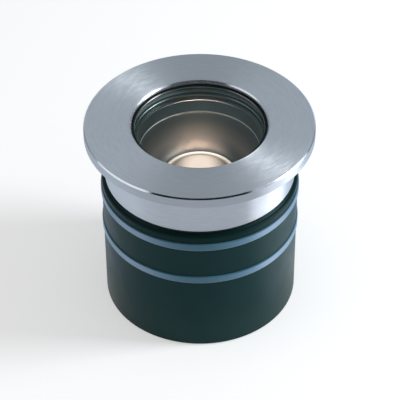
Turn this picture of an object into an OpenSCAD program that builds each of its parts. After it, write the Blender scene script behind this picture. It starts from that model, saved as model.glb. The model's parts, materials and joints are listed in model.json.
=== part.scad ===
// In ground well light: bezel, glass pack and housing with its optic, driver and cable gland.
// Millimetres, +Z up. The origin is the centre of the foot, on the plane that the foot stands on.

/* [Bezel] */
// Diameter of the flange that lies on the paving
flange_d = 110; // [104:1:130]
// Thickness of the flange
flange_t = 5.5; // [4.5:0.5:8]
// Diameter of the clear hole over the glass
aperture_d = 64.8; // [60:0.2:66]
// Thickness of the lip that holds the glass down
lip_t = 1.7; // [1.2:0.1:2.4]
// Length of the neck below the flange
neck_h = 22.7; // [22:0.1:30]
// Wall of the neck
neck_wall = 2.8; // [2:0.1:4]
// Chamfer around the top of the flange
flange_chamfer = 0.7; // [0.3:0.1:1.2]
// Chamfer around the clear hole
aperture_chamfer = 0.7; // [0.3:0.1:1]
// Small chamfer that breaks the lower edges of the flange and neck
edge_break = 0.35; // [0.2:0.05:0.6]
// Pitch of the thread between neck and spigot
thread_pitch = 2; // [1:0.25:2]
// Turns of the bezel from tight to nearly off
thread_turns = 6; // [3:1:6]
// Depth of the thread below the lands of the spigot
thread_depth = 0.8; // [0.5:0.1:1.2]

/* [Glass pack] */
// Thickness of the glass
glass_t = 6; // [4:0.5:8]
// Width of the rim of the glass that lies under the lip
glass_cover = 3.7; // [3:0.1:4.2]
// Thickness of the rubber on each side of the glass
gasket_t = 0.8; // [0.5:0.1:1.2]
// Width of the upper leg of the gasket that shows inside the hole
gasket_show = 1.6; // [0.8:0.1:2]
// Width of the lower leg of the gasket
gasket_leg = 3.7; // [2.5:0.1:4.2]
// Thickness of the slip ring
slip_t = 0.4; // [0.2:0.1:0.6]
// Thickness of the snap ring
ring_t = 1; // [0.8:0.1:1.4]
// Depth of the groove that holds the snap ring
ring_bite = 1; // [0.6:0.1:1.2]

/* [Housing] */
// Outer diameter of the housing
housing_d = 95; // [94:0.5:102]
// Height of the housing from the foot to the shoulder
housing_h = 70.8; // [68:0.1:90]
// Wall of the housing
wall_t = 4; // [3:0.25:5]
// Thickness of the floor
floor_t = 4; // [3:0.5:5]
// Height of the open foot skirt below the floor
skirt_h = 22; // [21:0.5:30]
// Diameter of the lands of the spigot inside the neck
spigot_d = 85.8; // [85:0.2:89]
// Wall of the spigot
spigot_wall = 3.4; // [2.6:0.1:3.8]
// Radius of the shoulder's outer edge
shoulder_round = 1; // [0.5:0.1:1.5]
// Chamfer around the foot
foot_chamfer = 0.6; // [0.3:0.1:1]
// Diameter of the seal's cord
seal_cord_d = 2.1; // [1.6:0.1:3]
// Height of one band
band_h = 3.9; // [3:0.1:5]
// How far a band stands out of the housing
band_proud = 0.6; // [0.4:0.1:1]
// Depth of the groove that holds a band
band_groove = 1.2; // [0.8:0.1:1.6]
// Distance from the shoulder to the top of the upper band
upper_band_drop = 4.1; // [3:0.1:8]
// Distance from the top of the upper band to the top of the lower band
band_spacing = 20.8; // [12:0.1:24]

/* [Baffle ring] */
// Diameter of the upper bore of the baffle ring
baffle_bore_d = 61.8; // [58:0.2:62]
// Depth of the upper bore
baffle_bore_h = 2.3; // [1.5:0.1:4]
// Width of the ledge below the upper bore
baffle_ledge = 1.5; // [0.8:0.1:2]
// Depth of the lower wall, from the ledge to the reflector
baffle_wall_h = 7.1; // [5:0.1:9]
// How far the lower wall draws in over its depth
baffle_draft = 0.4; // [0:0.1:0.8]
// Thickness of the baffle ring's wall
baffle_wall = 1.6; // [1:0.1:2]
// Thickness of the flange that sits on the spigot
baffle_flange_t = 2; // [1.4:0.1:2.4]

/* [Optic] */
// Outer diameter of the lens ring
lens_ring_d = 36.8; // [34:0.2:38]
// Height of the lens ring above the heat sink
lens_ring_h = 11.3; // [10.6:0.1:13]
// Wall of the lens ring
lens_ring_wall = 1.6; // [1.4:0.1:2]
// Wall of the reflector
reflector_wall = 0.9; // [0.6:0.1:1.2]
// Diameter of the light emitting chip
emitter_d = 12; // [8:0.5:13]
// Diameter of the circuit board under the chip
board_d = 25; // [22:0.5:25.5]
// Thickness of that board
board_t = 1.6; // [1:0.2:2]
// Thickness of the thermal pad
pad_t = 0.5; // [0.3:0.1:1]

/* [Heat sink] */
// Diameter of the heat sink
sink_d = 77; // [74:0.5:78]
// Thickness of its plate
sink_t = 5; // [4:0.5:7]
// Height of its fins
fin_h = 8; // [4:0.5:8.5]
// Thickness of one fin
fin_t = 1.6; // [1:0.1:2]
// Distance from fin to fin
fin_pitch = 8; // [7:0.5:8.5]
// Number of fins
fin_count = 8; // [4:2:8]

/* [Driver and wiring] */
// Length of the driver's case
driver_l = 50; // [44:1:52]
// Width of the driver's case
driver_w = 30; // [26:1:31]
// Height of the driver's case, with its lid
driver_h = 13.5; // [12:0.5:14]
// Wall of the driver's case
driver_wall = 1.5; // [1.2:0.1:2]
// Diameter of the insulated leads
lead_d = 1.8; // [1.4:0.1:2]
// Length of the terminal block
terminal_l = 15; // [14:0.5:16]
// Width of the terminal block
terminal_w = 12; // [10:0.5:13]
// Height of the terminal block
terminal_h = 11; // [9:0.5:12]

/* [Cable gland] */
// Distance from the centre of the housing to the gland
gland_y = 24; // [22:0.5:25]
// Diameter of the gland's thread
gland_thread_d = 16; // [15:0.5:17]
// Diameter of the bore for the cable
cable_bore_d = 8; // [6:0.5:8.5]
// Width of the hexagons across their flats
gland_hex = 20; // [19:0.5:21]
// Height of the fixed hexagon
gland_hex_h = 4.5; // [4:0.5:6]
// Length of the domed nut
gland_nut_h = 12; // [11:0.5:12.5]
// Pitch of the nut's thread
gland_pitch = 1; // [0.5:0.25:1]

/* [Hidden] */
$fn = 96;

// Clearances and the overrun of cuts
seat_gap = 0.1;
turn_gap = 0.2;
side_gap = 0.3;
over = 1;

// Heights from the foot upwards
chamber_z = skirt_h + floor_t;
shoulder_z = housing_h;
neck_z = shoulder_z + seal_cord_d + seat_gap;
flange_z = neck_z + neck_h;
top_z = flange_z + flange_t;

// Radii of the bezel, its bore and the spigot inside it
flange_r = flange_d / 2;
aperture_r = aperture_d / 2;
spigot_r = spigot_d / 2;
spigot_bore_r = spigot_r - spigot_wall;
neck_bore_r = spigot_r + turn_gap;
neck_r = neck_bore_r + neck_wall;

// The glass pack, from the lip downwards
lip_z = top_z - lip_t;
slip_z = lip_z - slip_t;
gasket_top_z = slip_z;
glass_top_z = gasket_top_z - gasket_t;
glass_z = glass_top_z - glass_t;
gasket_z = glass_z - gasket_t;
glass_r = aperture_r + glass_cover;
gasket_r = glass_r + gasket_t;
gasket_top_bore_r = aperture_r - gasket_show;
gasket_low_bore_r = glass_r - gasket_leg;
pack_bore_r = gasket_r + side_gap;
ring_top_z = gasket_z - seat_gap;
ring_z = ring_top_z - ring_t;
ring_groove_r = pack_bore_r + ring_bite;
ring_shelf_t = ring_t + turn_gap;
shelf_z = ring_z - seat_gap - ring_shelf_t;
ring_split = 3;

// The baffle ring and the top of the spigot under it
land_seat = 2.4;
land_r = gasket_low_bore_r + land_seat;
ring_bore_r = land_r + side_gap;
baffle_z = gasket_z - seat_gap;
baffle_flange_z = shelf_z - side_gap;
spigot_z = baffle_flange_z - baffle_flange_t;
baffle_flange_r = neck_bore_r - side_gap * 2;
baffle_bore_r = baffle_bore_d / 2;
ledge_z = baffle_z - baffle_bore_h;
ledge_r = baffle_bore_r - baffle_ledge;
baffle_low_z = ledge_z - baffle_wall_h;
baffle_low_r = ledge_r - baffle_draft;
ledge_break = 0.3;

// The thread's relief on the spigot
thread_land = 0.5;
thread_h = thread_pitch * thread_turns;
thread_top_z = spigot_z - thread_land;
thread_z = thread_top_z - thread_h;
thread_r = spigot_r - thread_depth;

// The housing's shell
housing_r = housing_d / 2;
chamber_r = housing_r - wall_t;
cone_h = chamber_r - spigot_bore_r;
cone_top_z = shoulder_z - wall_t;
band_round = 0.35;
band_gap = 0.05;
upper_band_z = shoulder_z - upper_band_drop - band_h;
lower_band_z = upper_band_z - band_spacing;
band_in_r = housing_r - band_groove;
band_out_r = housing_r + band_proud;

// The heat sink and what stands on it, from its seat on the bosses upwards
driver_top_z = chamber_z + driver_h;
sink_air = 2;
sink_z = driver_top_z + sink_air + fin_h;
sink_top_z = sink_z + sink_t;
sink_r = sink_d / 2;
boss_r = 3.6;
boss_at_r = sink_r - boss_r - over;
boss_count = 3;
boss_turn = 30;
boss_rib = 2.4;
pad_z = sink_top_z;
board_z = pad_z + pad_t;
board_top_z = board_z + board_t;
board_r = board_d / 2;
emitter_r = emitter_d / 2;
emitter_base_t = 0.9;
emitter_dome_h = 0.9;
emitter_foot_share = 0.8;
emitter_top_share = 0.7;

// The lens ring, its lens and the reflector's collar
lens_ring_r = lens_ring_d / 2;
lens_ring_bore_r = lens_ring_r - lens_ring_wall;
lens_ring_z = sink_top_z + lens_ring_h;
rim_round = lens_ring_wall / 2;
lens_drop = 1.3;
lens_seat_w = 1.1;
lens_seat_t = 0.8;
lens_edge_h = 4.6;
lens_z = lens_ring_z - lens_drop - lens_edge_h;
lens_r = lens_ring_bore_r - seat_gap;
lens_dish = 3.4;
lens_steps = 10;
collar_r = lens_ring_r + seat_gap;
collar_top_z = lens_ring_z - rim_round;
bowl_z = baffle_low_z - seat_gap;
bowl_r = baffle_low_r - seat_gap;
bowl_steps = 16;
bowl_power = 0.55;
bowl_lip = 1.5;
bowl_lip_t = 0.8;

// Screws
m4_r = 2;
m3_r = 1.5;
screw_gap = 0.2;
m4_head_r = 3.5;
m4_head_h = 2.4;
long_screw_l = 14;
m3_head_r = 2.7;
m3_head_h = 1.8;
short_screw_l = 6;
socket_share = 0.5;
socket_depth_share = 0.6;
board_screw_r = board_r - m3_head_r - screw_gap;
drill_z = sink_z - fin_h - over;
drill_h = fin_h + sink_t + 2 * over;

// The driver, its ears and its board
driver_edge_y = 2;
driver_y = driver_edge_y - driver_w / 2;
ear_w = 6.5;
ear_t = 2.5;
ear_r = 3.4;
driver_lid_t = driver_wall;
driver_case_h = driver_h - driver_lid_t;
driver_board_t = 1.6;
driver_board_lift = 2;
choke_r = 4.6;
choke_h = 5.6;
capacitor_r = 2.6;
capacitor_h = 6.4;
chip_w = 6;
chip_h = 1.6;
ear_x = driver_l / 2 + ear_w - ear_r;

// Leads
lead_r = lead_d / 2;
lead_gap = 1.2;
lead_x = board_r + lead_r + lead_gap;
lead_first_y = -0.3;
lead_apart = 3.2;
lead_ys = [lead_first_y, lead_first_y - lead_apart];
lead_bend = 2.6;
lead_end_x = board_r - lead_bend;
lead_hole_r = lead_r + screw_gap * 2;
lead_arc_steps = 8;
lead_sides = 10;

// Terminal block and earth screw
terminal_x = -17;
terminal_pitch_share = 0.3;
supply_xs = [for (i = [-1 : 1]) terminal_x + i * terminal_l * terminal_pitch_share];
supply_z = chamber_z + terminal_h / 3;
terminal_y = driver_edge_y + terminal_w;
terminal_base = 2;
terminal_screw_r = 1.4;
terminal_screw_h = 3;
terminal_wire_r = 1.3;
earth_x = 19;
earth_y = 22;
earth_boss_r = 4;
earth_boss_h = 4;
washer_t = 0.8;
washer_r = 4.2;

// Gland, from its fixed hexagon downwards
gland_thread_r = gland_thread_d / 2;
gland_hole_r = gland_thread_r + seat_gap;
lock_nut_h = 4;
gland_in_h = floor_t + lock_nut_h + over;
gland_seal_t = 1.5;
gland_hex_z = skirt_h - gland_seal_t - gland_hex_h;
gland_turns = 3;
gland_tail_land = 4;
gland_tail_h = gland_tail_land + gland_pitch * gland_turns;
gland_tail_z = gland_hex_z - gland_tail_h;
gland_tail_step = 0.6;
gland_tail_r = gland_thread_r - gland_tail_step;
gland_bore_r = cable_bore_d / 2 + over;
insert_wall = 2;
insert_h = 8;
insert_r = cable_bore_d / 2 + insert_wall;
insert_bore_r = insert_r + turn_gap;
nut_gap = turn_gap;
nut_top_z = gland_hex_z - nut_gap;
nut_z = nut_top_z - gland_nut_h;
nut_floor_t = 3;
nut_bore_r = gland_tail_r + turn_gap;
insert_z = nut_z + nut_floor_t + seat_gap;
nut_dome_share = 1.15;
nut_dome_rise_share = 0.86;

// Section of a ring whose four corners are rounded by f
module soft_profile(r0, r1, z0, z1, f) {
    translate([r0 + f, z0]) square([r1 - r0 - 2 * f, z1 - z0]);
    translate([r0, z0 + f]) square([r1 - r0, z1 - z0 - 2 * f]);
    for (r = [r0 + f, r1 - f], z = [z0 + f, z1 - f]) translate([r, z]) circle(f);
}

// Plain tube from z0 to z1
module tube(r0, r1, z0, z1) {
    rotate_extrude() translate([r0, z0]) square([r1 - r0, z1 - z0]);
}

// Copies its children to the screw bosses that carry the heat sink
module at_bosses() {
    for (i = [0 : boss_count - 1])
        rotate([0, 0, boss_turn + i * 360 / boss_count]) translate([boss_at_r, 0, 0]) children();
}

// Screw with a round socket head whose underside lies at z = 0 and whose shank points down
module socket_screw(r, l, head_r, head_h) {
    translate([0, 0, -l]) cylinder(r = r, h = l);
    difference() {
        cylinder(r = head_r, h = head_h);
        translate([0, 0, head_h * (1 - socket_depth_share)])
            cylinder(r = head_r * socket_share, h = head_h, $fn = 6);
    }
}

// Hexagonal prism, w across its flats
module hexagon(w, h) {
    cylinder(r = w / 2 / cos(30), h = h, $fn = 6);
}

module bezel() {
    color([0.62, 0.65, 0.68]) rotate_extrude() difference() {
        polygon([
            [aperture_r + aperture_chamfer, top_z], [flange_r - flange_chamfer, top_z],
            [flange_r, top_z - flange_chamfer], [flange_r, flange_z + edge_break],
            [flange_r - edge_break, flange_z], [neck_r, flange_z],
            [neck_r, neck_z + edge_break], [neck_r - edge_break, neck_z],
            [neck_bore_r, neck_z], [neck_bore_r, shelf_z], [pack_bore_r, shelf_z],
            [pack_bore_r, lip_z], [aperture_r, lip_z], [aperture_r, top_z - aperture_chamfer]]);
        translate([pack_bore_r - over, ring_z - seat_gap])
            square([ring_bite + over, ring_t + 2 * seat_gap]);
    }
}

// Snap ring, split by a narrow gap so that it springs into its groove
module glass_ring() {
    color([0.7, 0.7, 0.72]) difference() {
        tube(ring_bore_r, ring_groove_r - seat_gap, ring_z, ring_top_z);
        translate([ring_bore_r - over, -ring_split / 2, ring_z - over])
            cube([ring_groove_r, ring_split, ring_t + 2 * over]);
    }
}

module glass() {
    color([0.8, 0.9, 0.9, 0.3]) rotate_extrude()
        polygon([[0, glass_z], [glass_r - edge_break, glass_z], [glass_r, glass_z + edge_break],
                 [glass_r, glass_top_z - edge_break], [glass_r - edge_break, glass_top_z],
                 [0, glass_top_z]]);
}

// Rubber ring of U section, with a short upper leg and a shorter lower one
module glass_gasket() {
    color([0.05, 0.08, 0.08]) rotate_extrude() difference() {
        translate([gasket_top_bore_r, gasket_z])
            square([gasket_r - gasket_top_bore_r, gasket_top_z - gasket_z]);
        translate([0, glass_z]) square([glass_r, glass_t]);
        translate([0, gasket_z - over]) square([gasket_low_bore_r, glass_t + over]);
    }
}

module slip_ring() {
    color([0.9, 0.9, 0.86]) tube(aperture_r + side_gap, gasket_r, slip_z, lip_z - seat_gap / 2);
}

// Outline of the housing's shell, from the foot to the top of the spigot
module shell_profile() {
    difference() {
        union() {
            polygon([[chamber_r, 0], [housing_r - foot_chamfer, 0], [housing_r, foot_chamfer],
                     [housing_r, shoulder_z - shoulder_round], [chamber_r, shoulder_z - shoulder_round]]);
            translate([spigot_bore_r, cone_top_z])
                square([housing_r - shoulder_round - spigot_bore_r, shoulder_z - cone_top_z]);
            translate([housing_r - shoulder_round, shoulder_z - shoulder_round]) circle(shoulder_round);
            polygon([[chamber_r, cone_top_z - cone_h], [chamber_r, cone_top_z],
                     [spigot_bore_r, cone_top_z]]);
            translate([spigot_bore_r, cone_top_z]) square([spigot_wall, spigot_z - cone_top_z]);
            translate([0, skirt_h]) square([housing_r - over, floor_t]);
        }
        for (z = [upper_band_z, lower_band_z])
            translate([band_in_r, z - band_gap]) square([band_groove + over, band_h + 2 * band_gap]);
        translate([thread_r, thread_z]) square([thread_depth + over, thread_h]);
    }
}

module housing() {
    color([0.13, 0.2, 0.2]) difference() {
        union() {
            rotate_extrude() shell_profile();
            at_bosses() {
                translate([0, 0, chamber_z - over]) cylinder(r = boss_r, h = sink_z - chamber_z + over);
                translate([0, -boss_rib / 2, chamber_z - over])
                    cube([chamber_r + over - boss_at_r, boss_rib, sink_z - chamber_z]);
            }
            translate([earth_x, earth_y, chamber_z - over])
                cylinder(r = earth_boss_r, h = earth_boss_h + over);
        }
        at_bosses() translate([0, 0, sink_top_z - long_screw_l]) cylinder(r = m4_r, h = long_screw_l);
        translate([0, gland_y, skirt_h - over]) cylinder(r = gland_hole_r, h = floor_t + 2 * over);
        for (x = [-ear_x, ear_x]) translate([x, driver_y, chamber_z + ear_t - short_screw_l])
            cylinder(r = m3_r, h = short_screw_l);
        translate([earth_x, earth_y, chamber_z + earth_boss_h + washer_t - short_screw_l])
            cylinder(r = m4_r, h = short_screw_l);
    }
}

// Round cord that lies in the corner between the shoulder and the spigot
module bezel_seal() {
    color([0.03, 0.03, 0.03]) rotate_extrude()
        translate([spigot_r + seal_cord_d / 2, shoulder_z + seal_cord_d / 2]) circle(seal_cord_d / 2);
}

module band(z) {
    color([0.36, 0.46, 0.54]) rotate_extrude()
        soft_profile(band_in_r, band_out_r, z, z + band_h, band_round);
}

module upper_band() { band(upper_band_z); }
module lower_band() { band(lower_band_z); }

// Stepped ring: a flange on the spigot, a raised land under the glass and two bores
module baffle_ring() {
    color([0.22, 0.25, 0.25]) rotate_extrude() polygon([
        [baffle_bore_r, baffle_z], [land_r, baffle_z], [land_r, baffle_flange_z],
        [baffle_flange_r, baffle_flange_z], [baffle_flange_r, spigot_z],
        [baffle_low_r + baffle_wall + baffle_ledge, spigot_z],
        [baffle_low_r + baffle_wall + baffle_ledge, baffle_low_z],
        [baffle_low_r, baffle_low_z], [ledge_r, ledge_z - ledge_break],
        [ledge_r + ledge_break, ledge_z], [baffle_bore_r, ledge_z]]);
}

// Radius of the bowl at the share t of its height
function bowl_at(t) = collar_r + (bowl_r - collar_r) * pow(t, bowl_power);
function bowl_height(t) = collar_top_z + (bowl_z - collar_top_z) * t;

// Spun bowl that rises from a collar round the lens ring to a lip under the baffle ring
module reflector() {
    inside = [for (i = [0 : bowl_steps]) [bowl_at(i / bowl_steps), bowl_height(i / bowl_steps)]];
    outside = [for (i = [bowl_steps : -1 : 0])
        [bowl_at(i / bowl_steps) + reflector_wall,
         min(bowl_height(i / bowl_steps), bowl_z - bowl_lip_t) - reflector_wall / 2]];
    lip = [[bowl_r + bowl_lip, bowl_z], [bowl_r + bowl_lip, bowl_z - bowl_lip_t]];
    color([0.5, 0.5, 0.47]) rotate_extrude() polygon(concat(
        [[collar_r, sink_top_z]], inside, lip, outside, [[collar_r + reflector_wall, sink_top_z]]));
}

// Holder with a rounded bright rim and a narrow step that carries the lens
module lens_ring() {
    color([0.95, 0.93, 0.88]) rotate_extrude() {
        translate([lens_ring_bore_r, sink_top_z]) square([lens_ring_wall, lens_ring_h - rim_round]);
        translate([lens_ring_r - rim_round, lens_ring_z - rim_round]) circle(rim_round);
        translate([lens_ring_bore_r - lens_seat_w, lens_z - lens_seat_t])
            square([lens_seat_w + rim_round, lens_seat_t]);
    }
}

// Lens with a dished top: a parabola, computed in steps
module led_lens() {
    dish = [for (i = [0 : lens_steps])
        [lens_r * i / lens_steps, lens_z + lens_edge_h - lens_dish * (1 - pow(i / lens_steps, 2))]];
    color([0.98, 0.92, 0.84]) rotate_extrude() polygon(concat(dish, [[lens_r, lens_z], [0, lens_z]]));
}

module led_emitter() {
    color([0.95, 0.85, 0.3]) {
        translate([0, 0, board_top_z]) cylinder(r = emitter_r, h = emitter_base_t);
        translate([0, 0, board_top_z + emitter_base_t])
            cylinder(r1 = emitter_r * emitter_foot_share, r2 = emitter_r * emitter_top_share,
                h = emitter_dome_h);
    }
}

module led_board() {
    color([0.93, 0.93, 0.9]) translate([0, 0, board_z]) difference() {
        cylinder(r = board_r, h = board_t);
        for (y = [-board_screw_r, board_screw_r]) translate([0, y, -over])
            cylinder(r = m3_r + screw_gap, h = board_t + 2 * over);
    }
}

module board_screws() {
    color([0.75, 0.75, 0.77]) for (y = [-board_screw_r, board_screw_r])
        translate([0, y, board_top_z]) socket_screw(m3_r, short_screw_l, m3_head_r, m3_head_h);
}

module thermal_pad() {
    color([0.55, 0.57, 0.6]) translate([0, 0, pad_z]) difference() {
        cylinder(r = board_r, h = pad_t);
        for (y = [-board_screw_r, board_screw_r]) translate([0, y, -over])
            cylinder(r = m3_r + screw_gap, h = pad_t + 2 * over);
    }
}

// Round plate with straight fins below, drilled for its screws and for the leads
module heat_sink() {
    fin_r = boss_at_r - boss_r - side_gap;
    color([0.6, 0.62, 0.65]) difference() {
        union() {
            translate([0, 0, sink_z]) cylinder(r = sink_r, h = sink_t);
            intersection() {
                translate([0, 0, sink_z - fin_h]) cylinder(r = fin_r, h = fin_h + over);
                for (i = [0 : fin_count - 1])
                    translate([(i - (fin_count - 1) / 2) * fin_pitch - fin_t / 2, -fin_r, sink_z - fin_h])
                        cube([fin_t, 2 * fin_r, fin_h + over]);
            }
        }
        at_bosses() translate([0, 0, drill_z]) cylinder(r = m4_r + screw_gap, h = drill_h);
        for (y = lead_ys) translate([lead_x, y, drill_z]) cylinder(r = lead_hole_r, h = drill_h);
        for (y = [-board_screw_r, board_screw_r])
            translate([0, y, board_top_z - short_screw_l]) cylinder(r = m3_r, h = short_screw_l);
    }
}

module sink_screws() {
    color([0.75, 0.75, 0.77]) at_bosses() translate([0, 0, sink_top_z])
        socket_screw(m4_r, long_screw_l, m4_head_r, m4_head_h);
}

// Open tray with a screw ear at each end
module driver_case() {
    color([0.1, 0.1, 0.11]) translate([0, driver_y, chamber_z]) difference() {
        union() {
            translate([-driver_l / 2, -driver_w / 2, 0]) cube([driver_l, driver_w, driver_case_h]);
            for (s = [-1, 1]) {
                translate([s * ear_x, 0, 0]) cylinder(r = ear_r, h = ear_t);
                translate([s > 0 ? driver_l / 2 - over : -ear_x, -ear_r, 0])
                    cube([ear_x - driver_l / 2 + over, 2 * ear_r, ear_t]);
            }
        }
        translate([-driver_l / 2 + driver_wall, -driver_w / 2 + driver_wall, driver_wall])
            cube([driver_l - 2 * driver_wall, driver_w - 2 * driver_wall, driver_h]);
        for (s = [-1, 1]) translate([s * ear_x, 0, -over])
            cylinder(r = m3_r + screw_gap, h = ear_t + 2 * over);
    }
}

// Circuit board on four posts, with a choke, two capacitors and a chip
module driver_board() {
    l = driver_l - 2 * driver_wall - 2 * side_gap;
    w = driver_w - 2 * driver_wall - 2 * side_gap;
    top = driver_board_lift + driver_board_t;
    color([0.1, 0.4, 0.2]) translate([0, driver_y, chamber_z + driver_wall]) {
        translate([-l / 2, -w / 2, driver_board_lift]) cube([l, w, driver_board_t]);
        for (x = [-1, 1], y = [-1, 1])
            translate([x * (l / 2 - m3_r), y * (w / 2 - m3_r), 0])
                cylinder(r = m3_r, h = driver_board_lift + seat_gap);
        translate([-l / 4, 0, top - seat_gap]) cylinder(r = choke_r, h = choke_h);
        for (y = [-capacitor_r * 1.5, capacitor_r * 1.5]) translate([l / 5, y, top - seat_gap])
            cylinder(r = capacitor_r, h = capacitor_h);
        translate([-chip_w / 4, -chip_w / 2, top - seat_gap]) cube([chip_w, chip_w, chip_h]);
    }
}

module driver_lid() {
    color([0.13, 0.13, 0.14]) translate([-driver_l / 2, driver_y - driver_w / 2, driver_top_z - driver_lid_t])
        cube([driver_l, driver_w, driver_lid_t]);
}

module driver_screws() {
    color([0.75, 0.75, 0.77]) for (x = [-ear_x, ear_x])
        translate([x, driver_y, chamber_z + ear_t]) socket_screw(m3_r, short_screw_l, m3_head_r, m3_head_h);
}

// Three-way block: a tall body on a wider base, with screw wells and wire holes
module terminal_block() {
    color([0.88, 0.87, 0.82]) difference() {
        union() {
            translate([terminal_x - terminal_l / 2, terminal_y - terminal_w / 2, chamber_z])
                cube([terminal_l, terminal_w, terminal_base]);
            translate([terminal_x - terminal_l / 2, terminal_y - terminal_w / 3, chamber_z])
                cube([terminal_l, terminal_w * 2 / 3, terminal_h]);
        }
        for (x = supply_xs) translate([x, terminal_y, chamber_z + terminal_h - terminal_screw_h])
            cylinder(r = terminal_screw_r + seat_gap, h = terminal_screw_h + over);
        for (x = supply_xs) translate([x, terminal_y, supply_z])
            rotate([-90, 0, 0]) cylinder(r = terminal_wire_r, h = terminal_w);
        for (x = supply_xs) translate([x, terminal_y - terminal_w / 3 - over, supply_z])
            rotate([-90, 0, 0]) cylinder(r = lead_r, h = terminal_w / 3 + over);
    }
}

module terminal_screws() {
    color([0.8, 0.72, 0.45]) for (x = supply_xs)
        translate([x, terminal_y, chamber_z + terminal_h - terminal_screw_h])
            cylinder(r = terminal_screw_r, h = terminal_screw_h - 2 * screw_gap);
}

// Insulated leads from the block to the driver's case
module supply_leads() {
    color([0.25, 0.3, 0.6]) for (x = supply_xs) translate([x, driver_edge_y, supply_z])
        rotate([-90, 0, 0]) cylinder(r = lead_r, h = terminal_y - terminal_w / 12 - driver_edge_y);
}

// Path of one lead in its own plane: up from the driver, a quarter turn, then in over the board
function lead_path(y) = concat(
    [[lead_x, y, driver_top_z]],
    [for (i = [0 : lead_arc_steps]) let (a = 90 * i / lead_arc_steps)
        [lead_x - lead_bend * (1 - cos(a)), y, board_top_z + lead_r - lead_bend + lead_bend * sin(a)]],
    [[lead_end_x, y, board_top_z + lead_r]]);

// Direction of the path at each of its points, as the angle from straight up
function lead_angle(i) = i == 0 ? 0 : i > lead_arc_steps + 1 ? 90 : 90 * (i - 1) / lead_arc_steps;

// Tube swept along the path: one ring of points at each point of the path, then its two ends
module lead(y) {
    path = lead_path(y);
    n = lead_sides;
    points = [for (i = [0 : len(path) - 1]) for (k = [0 : n - 1])
        let (a = lead_angle(i), c = lead_r * cos(360 * k / n), s = lead_r * sin(360 * k / n))
        path[i] + [c * cos(a), s, c * sin(a)]];
    sides = [for (i = [0 : len(path) - 2]) for (k = [0 : n - 1])
        let (a = i * n + k, b = i * n + (k + 1) % n) each [[a, a + n, b], [b, a + n, b + n]]];
    last = (len(path) - 1) * n;
    ends = [[for (k = [0 : n - 1]) k], [for (k = [n - 1 : -1 : 0]) last + k]];
    polyhedron(points, concat(sides, ends));
}

module led_leads() {
    color([0.75, 0.15, 0.12]) for (y = lead_ys) lead(y);
}

module earth_screw() {
    z = chamber_z + earth_boss_h;
    color([0.8, 0.72, 0.45]) translate([earth_x, earth_y, z]) {
        difference() {
            cylinder(r = washer_r, h = washer_t);
            translate([0, 0, -over]) cylinder(r = m4_r - seat_gap, h = washer_t + 2 * over);
        }
        translate([0, 0, washer_t]) socket_screw(m4_r, short_screw_l, m4_head_r, m4_head_h);
    }
}

// Threaded shank through the floor, a hexagon below it and a tail that takes the nut
module gland_body() {
    color([0.78, 0.78, 0.76]) translate([0, gland_y, 0]) difference() {
        union() {
            translate([0, 0, gland_hex_z + over]) cylinder(r = gland_thread_r, h = gland_hex_h
                + gland_seal_t + gland_in_h - over);
            translate([0, 0, gland_hex_z]) hexagon(gland_hex, gland_hex_h);
            translate([0, 0, gland_tail_z]) cylinder(r = gland_tail_r, h = gland_tail_h + over);
        }
        translate([0, 0, gland_tail_z - over])
            cylinder(r = gland_bore_r, h = skirt_h + gland_in_h - gland_tail_z + 2 * over);
        translate([0, 0, gland_tail_z - over]) cylinder(r = insert_bore_r,
            h = insert_z + insert_h + turn_gap - gland_tail_z + over);
    }
}

module gland_o_ring() {
    color([0.05, 0.05, 0.05]) translate([0, gland_y, 0])
        tube(gland_hole_r, gland_hex / 2 - side_gap, skirt_h - gland_seal_t, skirt_h);
}

module gland_lock_nut() {
    color([0.78, 0.78, 0.76]) translate([0, gland_y, chamber_z]) difference() {
        hexagon(gland_hex, lock_nut_h);
        translate([0, 0, -over]) cylinder(r = gland_hole_r, h = lock_nut_h + 2 * over);
    }
}

// Rubber insert that closes round the cable
module gland_seal() {
    color([0.1, 0.1, 0.1]) translate([0, gland_y, 0])
        tube(cable_bore_d / 2, insert_r, insert_z, insert_z + insert_h);
}

// Hexagonal nut with a domed lower end
module gland_nut() {
    dome_r = gland_hex / 2 / cos(30) * nut_dome_share;
    color([0.78, 0.78, 0.76]) translate([0, gland_y, nut_z]) difference() {
        intersection() {
            hexagon(gland_hex, gland_nut_h);
            translate([0, 0, dome_r * nut_dome_rise_share]) sphere(dome_r);
        }
        translate([0, 0, -over]) cylinder(r = gland_bore_r, h = gland_nut_h);
        translate([0, 0, nut_floor_t]) cylinder(r = nut_bore_r, h = gland_nut_h);
    }
}

bezel();
glass_ring();
glass();
glass_gasket();
slip_ring();
housing();
bezel_seal();
upper_band();
lower_band();
baffle_ring();
reflector();
lens_ring();
led_lens();
led_emitter();
led_board();
board_screws();
thermal_pad();
heat_sink();
sink_screws();
driver_case();
driver_board();
driver_lid();
driver_screws();
terminal_block();
terminal_screws();
supply_leads();
led_leads();
earth_screw();
gland_body();
gland_o_ring();
gland_lock_nut();
gland_seal();
gland_nut();
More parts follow.
